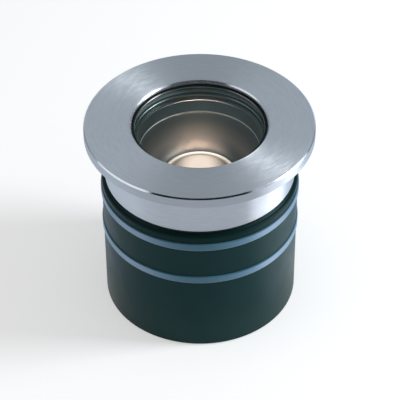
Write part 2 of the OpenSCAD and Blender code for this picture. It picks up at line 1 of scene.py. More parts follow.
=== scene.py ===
"""In ground well light: a brushed steel bezel screwed onto a dark housing, over a deep optic.

Metres, +Z up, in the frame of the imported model. The turned pieces are surfaces of revolution whose
sections take their radii and heights from the CAD nodes. The sealed inner pieces keep their CAD meshes.
"""
import bmesh
import bpy
import json
import math
import numpy as np
from mathutils import Euler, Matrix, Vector

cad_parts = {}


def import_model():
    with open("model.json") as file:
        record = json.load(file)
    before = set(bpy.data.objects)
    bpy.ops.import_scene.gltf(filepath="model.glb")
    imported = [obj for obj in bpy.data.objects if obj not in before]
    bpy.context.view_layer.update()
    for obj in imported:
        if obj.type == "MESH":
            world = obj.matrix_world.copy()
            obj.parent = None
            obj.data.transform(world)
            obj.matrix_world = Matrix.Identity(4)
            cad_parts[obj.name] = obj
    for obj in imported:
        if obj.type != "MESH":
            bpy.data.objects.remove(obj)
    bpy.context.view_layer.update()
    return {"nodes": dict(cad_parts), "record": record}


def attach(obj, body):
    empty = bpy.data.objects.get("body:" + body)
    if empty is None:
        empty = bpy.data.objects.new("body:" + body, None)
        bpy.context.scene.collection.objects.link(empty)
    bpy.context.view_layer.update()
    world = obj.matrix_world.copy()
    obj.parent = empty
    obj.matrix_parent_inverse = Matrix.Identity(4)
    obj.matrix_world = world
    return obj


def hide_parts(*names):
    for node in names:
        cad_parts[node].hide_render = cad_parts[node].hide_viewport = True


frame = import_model()

MM = 0.001

# Turned surfaces
SEGMENTS = 256  # steps round the axis
ARC_STEPS = 6  # steps in a fillet
CORD_STEPS = 24  # steps round the seal's cord
LAND = 0.1 * MM  # flat kept beside a fillet
LAND_SHARE = 0.3  # largest share of a side that this flat takes
UV_LENGTH = 0.1  # length of section that fills the UV map
LEVEL_REACH = 0.02 * MM  # how near a CAD corner lies to a height to be at it
POLE_SPREAD = 1e-9  # spread below which a row of points is one point
LEAST_RADIUS = 0.01 * MM  # keeps a division by the radius safe at the axis

# Camera, fitted to the photograph's ellipses
CAMERA_PLACE = (0.0, -0.6599, 0.63126)
CAMERA_PITCH = math.radians(48.75)
CAMERA_ROLL = -0.0064
CAMERA_LENS = 161.01

# Studio
AIM = Vector((0, 0, 0.08))  # what the lamps and cards face
SOFTBOX_DISTANCE = 1.0
WELL_LAMP_RADIUS = 1.8 * MM
WELL_LAMP_X = 1.9 * MM
WELL_LAMP_DROP = 2.1 * MM  # down from the glass
WELL_LAMP_POWER = 0.0092

# Small edges of the turned pieces
EDGE = 0.12 * MM
FINE = 0.03 * MM
RIM_CHAMFER = 0.7 * MM
EDGE_BREAK = 0.35 * MM
FOOT_CHAMFER = 0.6 * MM
SHOULDER_ROUND = 1.0 * MM
BAND_ROUND = 0.35 * MM
CUT_EDGE = 0.3 * MM

# Baffle ring
LEDGE_DROP = 2.3 * MM  # from its top down to its ledge
LEDGE_CUT = 0.42 * MM  # from the ledge down to the foot of its cut edge

# Thread ridges
THREAD_STEPS = 96  # steps in a turn
THREAD_PITCH = 2 * MM
THREAD_DEPTH = 0.75 * MM  # from the wall to the crest
THREAD_SINK = 0.05 * MM  # from the wall to the buried foot
FOOT_SHARE = 0.72  # width of the foot over the pitch
CREST_SHARE = 0.16  # width of the crest over the pitch

# Merging and sharp edges of the copied CAD meshes
MERGE_REACH = 0.002 * MM
SHARP_ANGLE = math.radians(32)


def corners(node):
    """Radius and height of each corner of a CAD node's mesh: r = sqrt(x x + y y)."""
    mesh = frame["nodes"][node].data
    places = np.empty(len(mesh.vertices) * 3)
    mesh.vertices.foreach_get("co", places)
    places = places.reshape(-1, 3)
    return np.hypot(places[:, 0], places[:, 1]), places[:, 2]


def low(node):
    """Lowest height of a CAD node."""
    return corners(node)[1].min()


def high(node):
    """Highest height of a CAD node."""
    return corners(node)[1].max()


def inner(node, height=None):
    """Smallest radius of a CAD node's corners, over all of it or at one height."""
    r, z = corners(node)
    return r.min() if height is None else r[np.abs(z - height) < LEVEL_REACH].min()


def outer(node, height=None):
    """Largest radius of a CAD node's corners, over all of it or at one height."""
    r, z = corners(node)
    return r.max() if height is None else r[np.abs(z - height) < LEVEL_REACH].max()


def rounded(points, closed=True):
    """Section line (r, z) through corners (r, z, fillet).

    At a corner C with unit directions a and b to its neighbours and half the angle between them g, the
    arc of radius f has its centre at C + (a + b) / |a + b| * f / sin g and leaves each side f / tan g
    from C. A point a little further along each side keeps the flats flat.
    """
    line = []
    count = len(points)
    for i, (r, z, fillet) in enumerate(points):
        here = np.array([r, z])
        if fillet <= 0 or (not closed and i in (0, count - 1)):
            line.append(here[None])
            continue
        back = np.array(points[i - 1][:2]) - here
        on = np.array(points[(i + 1) % count][:2]) - here
        back_length, on_length = np.hypot(*back), np.hypot(*on)
        a, b = back / back_length, on / on_length
        g = math.acos(max(-1.0, min(1.0, float(a @ b)))) / 2
        t = fillet / math.tan(g)
        centre = here + (a + b) / np.hypot(*(a + b)) * fillet / math.sin(g)
        start, end = here + a * t - centre, here + b * t - centre
        first = math.atan2(start[1], start[0])
        sweep = math.atan2(end[1], end[0]) - first
        sweep = (sweep + math.pi) % (2 * math.pi) - math.pi
        angle = first + sweep * np.linspace(0, 1, ARC_STEPS + 1)
        arc = centre + fillet * np.stack([np.cos(angle), np.sin(angle)], 1)
        before = here + a * (t + min(LAND, (back_length - t) * LAND_SHARE))
        after = here + b * (t + min(LAND, (on_length - t) * LAND_SHARE))
        line.append(np.vstack([before, arc, after]))
    return np.vstack(line)


def grid_mesh(name, places, uv, wrap_rows, wrap_columns):
    """Mesh of a grid of points P(row, column), joined round where it wraps, with its poles closed.

    A row whose points all lie in one place becomes one point, and its faces become triangles.
    """
    rows, columns = places.shape[:2]
    index = np.arange(rows * columns).reshape(rows, columns)
    pole = np.ptp(places, axis=1).max(axis=1) < POLE_SPREAD
    index[pole] = index[pole, :1]
    down = np.arange(rows if wrap_rows else rows - 1)
    across = np.arange(columns if wrap_columns else columns - 1)
    i, j = [k.ravel() for k in np.meshgrid(down, across, indexing="ij")]
    i2, j2 = (i + 1) % rows, (j + 1) % columns
    quads = np.stack([index[i, j], index[i, j2], index[i2, j2], index[i2, j]], 1)
    quad_uv = np.stack([uv[i, j], uv[i, j + 1], uv[i + 1, j + 1], uv[i + 1, j]], 1)
    real = quads != np.roll(quads, 1, axis=1)
    used, loops = np.unique(quads[real], return_inverse=True)
    sides = real.sum(axis=1)
    mesh = bpy.data.meshes.new(name)
    mesh.vertices.add(len(used))
    mesh.vertices.foreach_set("co", places.reshape(-1, 3)[used].ravel())
    mesh.loops.add(len(loops))
    mesh.loops.foreach_set("vertex_index", loops.ravel().astype(np.int32))
    mesh.polygons.add(len(quads))
    mesh.polygons.foreach_set("loop_start", (np.cumsum(sides) - sides).astype(np.int32))
    mesh.update(calc_edges=True)
    layer = mesh.uv_layers.new(name="Turned")
    layer.data.foreach_set("uv", quad_uv[real].ravel())
    mesh.shade_smooth()
    mesh.validate()
    return mesh


def shown(name, data):
    """A new object of this data, linked into the scene."""
    thing = bpy.data.objects.new(name, data)
    bpy.context.scene.collection.objects.link(thing)
    return thing


def piece(mesh, body, material, stands_for):
    """An object of this mesh that rides on a CAD body and stands for the named CAD nodes."""
    thing = shown(mesh.name, mesh)
    mesh.materials.append(material)
    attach(thing, body)
    if stands_for:
        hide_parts(*stands_for)
    return thing


def turned_mesh(name, line, closed):
    """Surface of revolution of a section line (r, z) about the object's axis.

    P(v, u) = (r(v) cos u, r(v) sin u, z(v)). The line is turned round where needed, so that its material
    lies to the left and every face points outwards.
    """
    r, z = line[:, 0], line[:, 1]
    if np.sum(r * np.roll(z, -1) - np.roll(r, -1) * z) < 0:
        line = line[::-1]
        r, z = line[:, 0], line[:, 1]
    u = np.linspace(0, 2 * math.pi, SEGMENTS, endpoint=False)
    upright = np.repeat(z[:, None], SEGMENTS, 1)
    places = np.stack([r[:, None] * np.cos(u), r[:, None] * np.sin(u), upright], 2)
    steps = np.hypot(*(np.roll(line, -1, 0) - line).T)
    travelled = np.concatenate([[0.0], np.cumsum(steps)])[:len(line) + 1]
    around = np.linspace(0, 1, SEGMENTS + 1)
    uv = np.stack(np.meshgrid(around, travelled / UV_LENGTH, indexing="xy"), 2)
    return grid_mesh(name, places, uv, wrap_rows=closed, wrap_columns=True)


def turned(name, line, body, material, stands_for, closed=True):
    """A turned piece: its mesh and the object that shows it."""
    return piece(turned_mesh(name, line, closed), body, material, stands_for)


def thread(name, root, crest, bottom, turns, body, material):
    """Ridge of a right-handed thread: a trapezoid carried along a helix, pinched to a point at its ends.

    At the angle u it stands at z = bottom + pitch u / 2 pi, and the corner k of its section lies at
    (root + s(u) d_k, z + s(u) h_k), where s swells from 0 to 1 over the first half turn and back at the last.
    """
    u = np.linspace(0, 2 * math.pi * turns, int(turns * THREAD_STEPS) + 1)
    swell = np.clip(np.minimum(u, u[-1] - u) / math.pi, 0.0, 1.0)[:, None]
    sink = math.copysign(THREAD_SINK, root - crest)
    out = np.array([sink, crest - root, crest - root, sink])
    up = np.array([FOOT_SHARE, CREST_SHARE, -CREST_SHARE, -FOOT_SHARE]) / 2 * THREAD_PITCH
    if crest < root:
        out, up = out[::-1], up[::-1]
    r = root + swell * out
    z = bottom + THREAD_PITCH * u[:, None] / (2 * math.pi) + swell * up
    x, y = r * np.cos(u)[:, None], r * np.sin(u)[:, None]
    uv = np.stack(np.meshgrid(np.linspace(0, 1, 5), u / (2 * math.pi), indexing="xy"), 2)
    mesh = grid_mesh(name, np.stack([x, y, z], 2), uv, wrap_rows=False, wrap_columns=True)
    return piece(mesh, body, material, ())


def merged_copy(name, node, body, material):
    """A copy of a CAD node's mesh with its loose triangles joined, smooth but for its real edges."""
    mesh = frame["nodes"][node].data.copy()
    mesh.name = name
    mesh.materials.clear()
    shape = bmesh.new()
    shape.from_mesh(mesh)
    bmesh.ops.remove_doubles(shape, verts=shape.verts, dist=MERGE_REACH)
    shape.to_mesh(mesh)
    shape.free()
    mesh.shade_smooth()
    mesh.set_sharp_from_angle(angle=SHARP_ANGLE)
    return piece(mesh, body, material, (node,))


def add(tree, kind, inputs=None, **settings):
    """A shader node with its settings; each named input is linked to a socket or set to a value."""
    node = tree.nodes.new("ShaderNode" + kind)
    for name, value in settings.items():
        setattr(node, name, value)
    for name, value in (inputs or {}).items():
        if isinstance(value, bpy.types.NodeSocket):
            tree.links.new(value, node.inputs[name])
        else:
            node.inputs[name].default_value = value
    return node


def math_node(tree, operation, a, b=0.0, clamp=False):
    """Output of one Math node."""
    return add(tree, "Math", {0: a, 1: b}, operation=operation, use_clamp=clamp).outputs[0]


def times(tree, a, b):
    """Product of two values."""
    return math_node(tree, "MULTIPLY", a, b)


def plus(tree, a, b):
    """Sum of two values."""
    return math_node(tree, "ADD", a, b)


def less(tree, a, b):
    """Difference of two values."""
    return math_node(tree, "SUBTRACT", a, b)


def ramp(tree, value, start, end):
    """Soft step: 0 before the start, 1 after the end."""
    return add(tree, "MapRange", {"Value": value, "From Min": start, "From Max": end},
               interpolation_type="SMOOTHSTEP").outputs["Result"]


def spread(tree, mask, low_value, high_value):
    """A mask from 0 to 1 laid between two limits."""
    node = add(tree, "MapRange", {"Value": mask, "To Min": low_value, "To Max": high_value})
    return node.outputs["Result"]


def new_group(name, inputs, outputs):
    """A shader node group with its named inputs (name, value) and outputs (name, kind)."""
    tree = bpy.data.node_groups.new(name, "ShaderNodeTree")
    for label, value in inputs:
        socket = tree.interface.new_socket(label, in_out="INPUT", socket_type="NodeSocketFloat")
        socket.default_value = value
    for label, kind in outputs:
        tree.interface.new_socket(label, in_out="OUTPUT", socket_type="NodeSocket" + kind)
    return tree, tree.nodes.new("NodeGroupInput"), tree.nodes.new("NodeGroupOutput")


def turned_grain():
    """Fine streaks round the axis: noise over (r + z, cos u, sin u), long in u and short in r + z."""
    tree, given, made = new_group(
        "turned_grain", [("Lines", 1800.0), ("Breaks", 5.0), ("Centre Y", 0.0)], [("Streaks", "Float")])
    place = add(tree, "SeparateXYZ", {0: add(tree, "TexCoord").outputs["Object"]})
    x, z, breaks = place.outputs["X"], place.outputs["Z"], given.outputs["Breaks"]
    y = less(tree, place.outputs["Y"], given.outputs["Centre Y"])
    squares = plus(tree, times(tree, x, x), times(tree, y, y))
    radius = math_node(tree, "MAXIMUM", math_node(tree, "SQRT", squares), LEAST_RADIUS)
    across = times(tree, plus(tree, radius, z), given.outputs["Lines"])
    cosine = times(tree, math_node(tree, "DIVIDE", x, radius), breaks)
    sine = times(tree, math_node(tree, "DIVIDE", y, radius), breaks)
    spot = add(tree, "CombineXYZ", {"X": across, "Y": cosine, "Z": sine}).outputs[0]
    streaks = add(tree, "TexNoise", {"Vector": spot, "Scale": 1.0, "Detail": 3.0, "Roughness": 0.6})
    tree.links.new(streaks.outputs["Fac"], made.inputs["Streaks"])
    return tree


def fine_skin():
    """Skin of a cast, moulded or coated part: a fine grain, and soft patches far larger than it."""
    tree, given, made = new_group(
        "fine_skin", [("Grain", 2500.0), ("Patches", 60.0)],
        [("Grain Height", "Float"), ("Patch Mask", "Float")])
    place = add(tree, "TexCoord").outputs["Object"]
    grain = add(tree, "TexNoise", {"Vector": place, "Scale": given.outputs["Grain"], "Detail": 2.0})
    patches = add(tree, "TexNoise", {"Vector": place, "Scale": given.outputs["Patches"], "Detail": 3.0})
    tree.links.new(grain.outputs["Fac"], made.inputs["Grain Height"])
    tree.links.new(ramp(tree, patches.outputs["Fac"], 0.3, 0.7), made.inputs["Patch Mask"])
    return tree


def worn_edges():
    """Mask that is 1 on outer edges and 0 elsewhere, broken up by a noise, from the mesh's pointiness."""
    tree, given, made = new_group("worn_edges", [("Wear", 0.5)], [("Edge Mask", "Float")])
    bare = ramp(tree, add(tree, "NewGeometry").outputs["Pointiness"], 0.505, 0.56)
    place = add(tree, "TexCoord").outputs["Object"]
    noise = add(tree, "TexNoise", {"Vector": place, "Scale": 700.0, "Detail": 2.0})
    broken = times(tree, bare, noise.outputs["Fac"])
    mask = math_node(tree, "MULTIPLY", broken, given.outputs["Wear"], clamp=True)
    tree.links.new(mask, made.inputs["Edge Mask"])
    return tree


GRAIN = turned_grain()
SKIN = fine_skin()
EDGES = worn_edges()


def place_group(tree, group, **inputs):
    """A node group placed in a material with its own values."""
    node = tree.nodes.new("ShaderNodeGroup")
    node.node_tree = group
    for name, value in inputs.items():
        node.inputs[name.replace("_", " ")].default_value = value
    return node


def new_material(name, **constants):
    """A material with one Principled shader on its output, and the shader's constant values."""
    made = bpy.data.materials.new(name)
    made.use_nodes = True
    tree = made.node_tree
    tree.nodes.clear()
    shader = tree.nodes.new("ShaderNodeBsdfPrincipled")
    for label, value in constants.items():
        shader.inputs[label.replace("_", " ")].default_value = value
    output = tree.nodes.new("ShaderNodeOutputMaterial")
    tree.links.new(shader.outputs[0], output.inputs["Surface"])
    return made, tree, shader, output


def blend_colours(tree, mask, first, second, socket=None, blend_type="MIX"):
    """Colour that goes from the first to the second with a mask, and feeds a socket if one is given.

    The blend type MULTIPLY lets the second tint the first instead.
    """
    node = add(tree, "Mix", data_type="RGBA", blend_type=blend_type)
    tree.links.new(mask, node.inputs["Factor"])
    for place, value in (("A", first), ("B", second)):
        target = [s for s in node.inputs if s.name == place and s.type == "RGBA"][0]
        if isinstance(value, bpy.types.NodeSocket):
            tree.links.new(value, target)
        else:
            target.default_value = (*value, 1.0)
    result = [s for s in node.outputs if s.type == "RGBA"][0]
    if socket is not None:
        tree.links.new(result, socket)
    return result


def bump(tree, height, depth, strength, shader):
    """Raises the surface by a height map, depth metres deep."""
    node = add(tree, "Bump", {"Height": height, "Distance": depth, "Strength": strength})
    tree.links.new(node.outputs["Normal"], shader.inputs["Normal"])


def laid_grain(tree, shader, lines, breaks, roughness, depth, strength, centre_y=0.0):
    """Turned grain over a material, which sets its roughness and height. Gives the streaks."""
    streaks = place_group(tree, GRAIN, Lines=lines, Breaks=breaks, Centre_Y=centre_y).outputs["Streaks"]
    tree.links.new(spread(tree, streaks, *roughness), shader.inputs["Roughness"])
    bump(tree, streaks, depth, strength, shader)
    return streaks


def laid_skin(tree, shader, grain, patches, roughness, depth, strength):
    """Fine skin over a material, which sets its roughness and height. Gives the mask of the patches."""
    skin = place_group(tree, SKIN, Grain=grain, Patches=patches)
    mask = skin.outputs["Patch Mask"]
    tree.links.new(spread(tree, mask, *roughness), shader.inputs["Roughness"])
    bump(tree, skin.outputs["Grain Height"], depth, strength, shader)
    return mask


def turned_metal(name, colour, shade, roughness, centre_y=0.0):
    """Metal turned or brushed in rings: streaks vary its colour, roughness and height."""
    made, tree, shader, _ = new_material(name, Metallic=1.0)
    streaks = laid_grain(tree, shader, 1800.0, 5.0, roughness, 0.01 * MM, 0.25, centre_y)
    blend_colours(tree, streaks, shade, colour, shader.inputs["Base Color"])
    return made


def skinned(name, colour, patch, roughness, grain=2500.0, depth=0.01 * MM, strength=0.3, patches=60.0,
            wear=0.0, bare=None, **constants):
    """Coated, moulded or cast surface: patches vary its colour and roughness, a fine grain its height."""
    made, tree, shader, _ = new_material(name, **constants)
    mask = laid_skin(tree, shader, grain, patches, roughness, depth, strength)
    colour_out = blend_colours(tree, mask, colour, patch)
    if wear:
        edges = place_group(tree, EDGES, Wear=wear)
        colour_out = blend_colours(tree, edges.outputs["Edge Mask"], colour_out, bare)
    tree.links.new(colour_out, shader.inputs["Base Color"])
    return made


def clear_glass():
    """Toughened glass with a faint green body, which lets the light of the well straight through."""
    made, tree, shader, output = new_material(
        "clear_glass", Metallic=0.0, Transmission_Weight=1.0, IOR=1.45, Roughness=0.0)
    skin = place_group(tree, SKIN, Grain=900.0, Patches=25.0)
    blend_colours(tree, skin.outputs["Patch Mask"], (0.93, 0.965, 0.955), (0.945, 0.97, 0.962),
                  shader.inputs["Base Color"])
    path = add(tree, "LightPath")
    passes = math_node(tree, "MAXIMUM", path.outputs["Is Shadow Ray"], path.outputs["Is Diffuse Ray"])
    bounced = math_node(tree, "SUBTRACT", path.outputs["Is Glossy Ray"],
                        path.outputs["Is Transmission Ray"], clamp=True)
    passes = math_node(tree, "MAXIMUM", passes, bounced)
    # This grey dims the light through the glass: partly the glass's own loss, partly painted shade in the
    # well.
    open_way = add(tree, "BsdfTransparent", {"Color": (0.72, 0.75, 0.74, 1.0)})
    mix = add(tree, "MixShader", {0: passes, 1: shader.outputs[0], 2: open_way.outputs[0]})
    tree.links.new(mix.outputs[0], output.inputs["Surface"])
    return made


def along(tree, axis):
    """Coordinate of the shaded point along X, Y or Z."""
    return add(tree, "SeparateXYZ", {0: add(tree, "TexCoord").outputs["Object"]}).outputs[axis]


def flat_length(tree, x, y):
    """Length sqrt(x x + y y)."""
    flat = add(tree, "CombineXYZ", {"X": x, "Y": y})
    return add(tree, "VectorMath", {0: flat.outputs[0]}, operation="LENGTH").outputs["Value"]


def axis_distance(tree):
    """Distance of the shaded point from the object's axis."""
    return flat_length(tree, along(tree, "X"), along(tree, "Y"))


def lit_ring():
    """Ring round the lens whose glow is painted light: its top glows white as a painted highlight, warmer and
    dimmer aside. Its sides are dim.
    """
    made, tree, shader, _ = new_material("ring_glow", Emission_Strength=1.0)
    dim_z, lit_z = 65.0 * MM, 65.65 * MM
    aside = ramp(tree, math_node(tree, "ABSOLUTE", along(tree, "X")), 7 * MM, 15 * MM)
    mask = laid_skin(tree, shader, 3000.0, 300.0, (0.2, 0.3), 0.01 * MM, 0.1)
    # Painted highlight in the emission: white on the top, warmer and dimmer aside, dim on the sides.
    crest = blend_colours(tree, aside, (1.0, 0.95, 0.86), (0.60, 0.50, 0.42))
    blend_colours(tree, ramp(tree, along(tree, "Z"), dim_z, lit_z), (0.16, 0.12, 0.09), crest,
                  shader.inputs["Emission Color"])
    blend_colours(tree, mask, (0.42, 0.38, 0.33), (0.40, 0.36, 0.31), shader.inputs["Base Color"])
    return made


def flange_steel():
    """Stainless steel: long grain on the flange's face, polished chamfers, and turned sides.

    They are told apart by height. The outer side is darker and the hole's chamfer duller, by radius.
    """
    made, tree, shader, _ = new_material("brushed_steel", Metallic=1.0, Anisotropic=0.9,
                                         Anisotropic_Rotation=0.25)
    top, rim_r, hole_r = high("bezel"), 46 * MM, 34.5 * MM
    streaks = place_group(tree, GRAIN, Lines=900.0, Breaks=7.0).outputs["Streaks"]
    z = along(tree, "Z")
    face = ramp(tree, z, top - 0.09 * MM, top - 0.05 * MM)
    chamfer = ramp(tree, z, top - RIM_CHAMFER - 0.05 * MM, top - RIM_CHAMFER)
    colour = blend_colours(tree, streaks, (0.575, 0.585, 0.60), (0.745, 0.755, 0.77))
    rim = ramp(tree, axis_distance(tree), rim_r, rim_r + 1 * MM)
    on_side = times(tree, rim, less(tree, 1.0, chamfer))
    blend_colours(tree, on_side, colour, (0.84, 0.85, 0.86), shader.inputs["Base Color"], "MULTIPLY")
    sides = spread(tree, streaks, 0.36, 0.42)
    hole_side = ramp(tree, axis_distance(tree), hole_r, hole_r - 1 * MM)
    polished = times(tree, chamfer, less(tree, times(tree, hole_side, 0.09), 0.25))
    brushed = times(tree, face, spread(tree, streaks, 0.15, 0.33))
    tree.links.new(plus(tree, plus(tree, sides, polished), brushed), shader.inputs["Roughness"])
    depth = plus(tree, times(tree, face, 0.8), 0.2)
    bump(tree, times(tree, streaks, depth), 0.012 * MM, 0.6, shader)
    tangent = add(tree, "Tangent", direction_type="UV_MAP", uv_map="Turned")
    tree.links.new(tangent.outputs[0], shader.inputs["Tangent"])
    return made


def gasket_rubber():
    """Dark grey silicone round the glass, painted black on its top as shade, and pale on the leg below the
    glass as painted light.
    """
    made, tree, shader, _ = new_material("gasket_rubber", Specular_IOR_Level=0.12, Coat_IOR=2.0,
                                         Coat_Roughness=0.2)
    mask = laid_skin(tree, shader, 1800.0, 60.0, (0.40, 0.48), 0.004 * MM, 0.1)
    z = along(tree, "Z")
    # Painted shade: the top face is black. Painted light: the leg below the glass is pale.
    face = ramp(tree, z, high("glass_gasket") - CUT_EDGE, high("glass_gasket") - CUT_EDGE / 2)
    under = ramp(tree, z, low("glass") + 0.1 * MM, low("glass"))
    inside = blend_colours(tree, mask, (0.10, 0.13, 0.135), (0.115, 0.145, 0.15))
    top = blend_colours(tree, face, inside, (0.004, 0.009, 0.009))
    blend_colours(tree, under, top, (0.38, 0.425, 0.44), shader.inputs["Base Color"])
    lip_r = inner("glass_gasket")
    gloss = ramp(tree, axis_distance(tree), lip_r + 0.35 * MM, lip_r + 0.25 * MM)
    above = ramp(tree, z, high("glass"), high("glass") + 0.2 * MM)
    tree.links.new(times(tree, gloss, above), shader.inputs["Coat Weight"])
    return made


def spun_reflector():
    """Satin spun aluminium with fine rings, painted with light: a warm painted glow low down, dimmer to the
    left and right, and a painted highlight on its mouth.

    The brightest part of the painted glow lies a little left of the middle, and painted shade makes the low
    corners beside the lens dimmer still.
    """
    made, tree, shader, _ = new_material("satin_reflector", Metallic=1.0)
    streaks = laid_grain(tree, shader, 1400.0, 3.0, (0.42, 0.50), 0.006 * MM, 0.15)
    x, z, shift_left = along(tree, "X"), along(tree, "Z"), 3.0 * MM
    off = math_node(tree, "ABSOLUTE", plus(tree, x, shift_left))
    # Painted light: the glow low down, its dimming aside, shade in the low corners and the highlight on the
    # mouth.
    aside = times(tree, ramp(tree, off, 4 * MM, 21 * MM), 0.52)
    corner = times(tree, ramp(tree, math_node(tree, "ABSOLUTE", x), 8 * MM, 17 * MM),
                   ramp(tree, z, 72 * MM, 66 * MM))
    dimmed = math_node(tree, "ADD", aside, times(tree, corner, 0.4), clamp=True)
    low_part = times(tree, ramp(tree, z, 80 * MM, 65.5 * MM), less(tree, 1.0, dimmed))
    dark = blend_colours(tree, streaks, (0.055, 0.060, 0.055), (0.072, 0.078, 0.071))
    warm = blend_colours(tree, streaks, (0.62, 0.54, 0.49), (0.70, 0.615, 0.56))
    rim = ramp(tree, z, high("reflector") - CUT_EDGE, high("reflector") - 0.8 * CUT_EDGE)
    blend_colours(tree, rim, blend_colours(tree, low_part, dark, warm), (0.55, 0.55, 0.53),
                  shader.inputs["Base Color"])
    return made


def blackened_baffle():
    """Blackened aluminium with fine turning marks, darker below its ledge.

    The cut edges of the ledge and the foot carry a painted highlight that grows brighter towards the back.
    """
    made, tree, shader, _ = new_material("blackened_baffle", Metallic=1.0)
    streaks = laid_grain(tree, shader, 2600.0, 4.0, (0.26, 0.36), 0.005 * MM, 0.2)
    z = along(tree, "Z")
    top, foot = high("baffle_ring"), low("baffle_ring")
    ledge = top - LEDGE_DROP
    below = ramp(tree, z, ledge - 0.45 * MM, ledge - 0.6 * MM)
    upper = blend_colours(tree, streaks, (0.12, 0.140, 0.133), (0.148, 0.168, 0.160))
    lower = blend_colours(tree, streaks, (0.033, 0.056, 0.062), (0.044, 0.070, 0.076))
    walls = blend_colours(tree, below, upper, lower)
    fade = 0.04 * MM
    on_ledge = times(tree, ramp(tree, z, ledge - LEDGE_CUT - fade, ledge - LEDGE_CUT),
                     ramp(tree, z, ledge - 2 * fade, ledge - 3 * fade))
    on_top = ramp(tree, z, top - CUT_EDGE, top - CUT_EDGE + fade)
    on_foot = ramp(tree, z, foot + CUT_EDGE + fade, foot + CUT_EDGE)
    cut = math_node(tree, "MAXIMUM", on_ledge, on_foot)
    y = along(tree, "Y")
    # Painted highlight: the cut edges of the ledge and foot brighten towards the back.
    ledge_highlight, foot_highlight = ramp(tree, y, 20 * MM, 28.5 * MM), ramp(tree, y, 4 * MM, 26 * MM)
    ledge_edge = blend_colours(tree, ledge_highlight, (0.11, 0.12, 0.115), (1.0, 0.95, 0.90))
    foot_edge = blend_colours(tree, foot_highlight, (0.22, 0.235, 0.23), (0.50, 0.49, 0.46))
    edge = blend_colours(tree, on_foot, ledge_edge, foot_edge)
    bright = blend_colours(tree, cut, walls, edge)
    blend_colours(tree, on_top, bright, (0.27, 0.31, 0.315), shader.inputs["Base Color"])
    return made


def elastic_band():
    """Blue-grey elastic band, matt when seen face on. At a slant a coat adds gloss, and its colour turns
    paler and bluer, a painted sheen.
    """
    made, tree, shader, _ = new_material("band_rubber", Specular_IOR_Level=0.3, Coat_IOR=2.2,
                                         Coat_Roughness=0.3)
    mask = laid_skin(tree, shader, 2200.0, 60.0, (0.34, 0.42), 0.006 * MM, 0.15)
    plain = blend_colours(tree, mask, (0.048, 0.152, 0.208), (0.057, 0.165, 0.222))
    slant = add(tree, "LayerWeight", {"Blend": 0.5}).outputs["Facing"]
    grazing = times(tree, ramp(tree, slant, 0.5, 0.7), 0.45)
    sheen = less(tree, ramp(tree, slant, 0.22, 0.44), grazing)
    # The paler, bluer colour at a slant is a painted sheen.
    blend_colours(tree, sheen, plain, (0.085, 0.215, 0.37), shader.inputs["Base Color"])
    tree.links.new(times(tree, sheen, 0.9), shader.inputs["Coat Weight"])
    return made


def anodised_coat():
    """Dark green anodised coat, painted darker towards the top of the housing as shade under the bezel."""
    made, tree, shader, _ = new_material("dark_coat", Specular_IOR_Level=0.15,
                                         Specular_Tint=(0.5, 0.85, 1.0, 1.0))
    mask = laid_skin(tree, shader, 3500.0, 60.0, (0.36, 0.44), 0.004 * MM, 0.12)
    plain = blend_colours(tree, mask, (0.0075, 0.033, 0.031), (0.009, 0.037, 0.036))
    # Painted shade: the coat is darker high up, where the bezel shades it.
    deep = blend_colours(tree, mask, (0.0018, 0.016, 0.013), (0.003, 0.019, 0.016))
    upper = ramp(tree, along(tree, "Z"), 60 * MM, 70 * MM)
    blend_colours(tree, upper, plain, deep, shader.inputs["Base Color"])
    return made


def lit_lens():
    """Warm plastic lit by the LED: its dish glows in a long soft pool that reaches the back, and less at its
    rim; the glow is the LED's light, and the shape of its pool a painted highlight.

    The pool fades with the distance sqrt(x x + s s (y - c) (y - c)) from its middle.
    """
    made, tree, shader, _ = new_material("lens_glow", Emission_Strength=0.93)
    middle_y, squeeze_share = 6 * MM, 0.5
    back = times(tree, less(tree, along(tree, "Y"), middle_y), squeeze_share)
    aside = ramp(tree, flat_length(tree, along(tree, "X"), back), 4.4 * MM, 13.6 * MM)
    rim = ramp(tree, axis_distance(tree), 15.2 * MM, 16.6 * MM)
    share = math_node(tree, "ADD", aside, times(tree, rim, 0.15), clamp=True)
    mask = laid_skin(tree, shader, 3000.0, 300.0, (0.3, 0.4), 0.01 * MM, 0.1)
    # The pool of glow is a painted highlight laid over the LED's light.
    blend_colours(tree, share, (1.0, 0.80, 0.68), (0.10, 0.075, 0.06), shader.inputs["Emission Color"])
    blend_colours(tree, mask, (0.26, 0.24, 0.21), (0.24, 0.22, 0.19), shader.inputs["Base Color"])
    return made


# Materials
brushed_steel = flange_steel()
gasket_black = gasket_rubber()
thread_steel = turned_metal("thread_steel", (0.55, 0.57, 0.60), (0.42, 0.44, 0.47), (0.28, 0.4))
spring_steel = turned_metal("spring_steel", (0.56, 0.57, 0.58), (0.46, 0.47, 0.49), (0.3, 0.42))
dark_coat = anodised_coat()
thread_coat = skinned("thread_coat", (0.02, 0.04, 0.042), (0.03, 0.05, 0.052), (0.35, 0.5), wear=0.8,
                      bare=(0.2, 0.24, 0.25), Metallic=0.6)
band_rubber = elastic_band()
black_rubber = skinned("black_rubber", (0.006, 0.012, 0.012), (0.009, 0.015, 0.015), (0.5, 0.65),
                       grain=1800.0)
grey_anodised = blackened_baffle()
satin_reflector = spun_reflector()
clear_glass_slab = clear_glass()
slip_plastic = skinned("slip_plastic", (0.20, 0.24, 0.225), (0.17, 0.21, 0.195), (0.35, 0.45))
ring_glow = lit_ring()
lens_glow = lit_lens()
phosphor = skinned("phosphor", (0.9, 0.68, 0.12), (0.85, 0.6, 0.1), (0.25, 0.4), grain=4000.0)
white_board = skinned("white_board", (0.82, 0.82, 0.80), (0.76, 0.76, 0.74), (0.3, 0.45), grain=1500.0)
screw_steel = turned_metal("screw_steel", (0.6, 0.6, 0.62), (0.48, 0.48, 0.5), (0.25, 0.4))
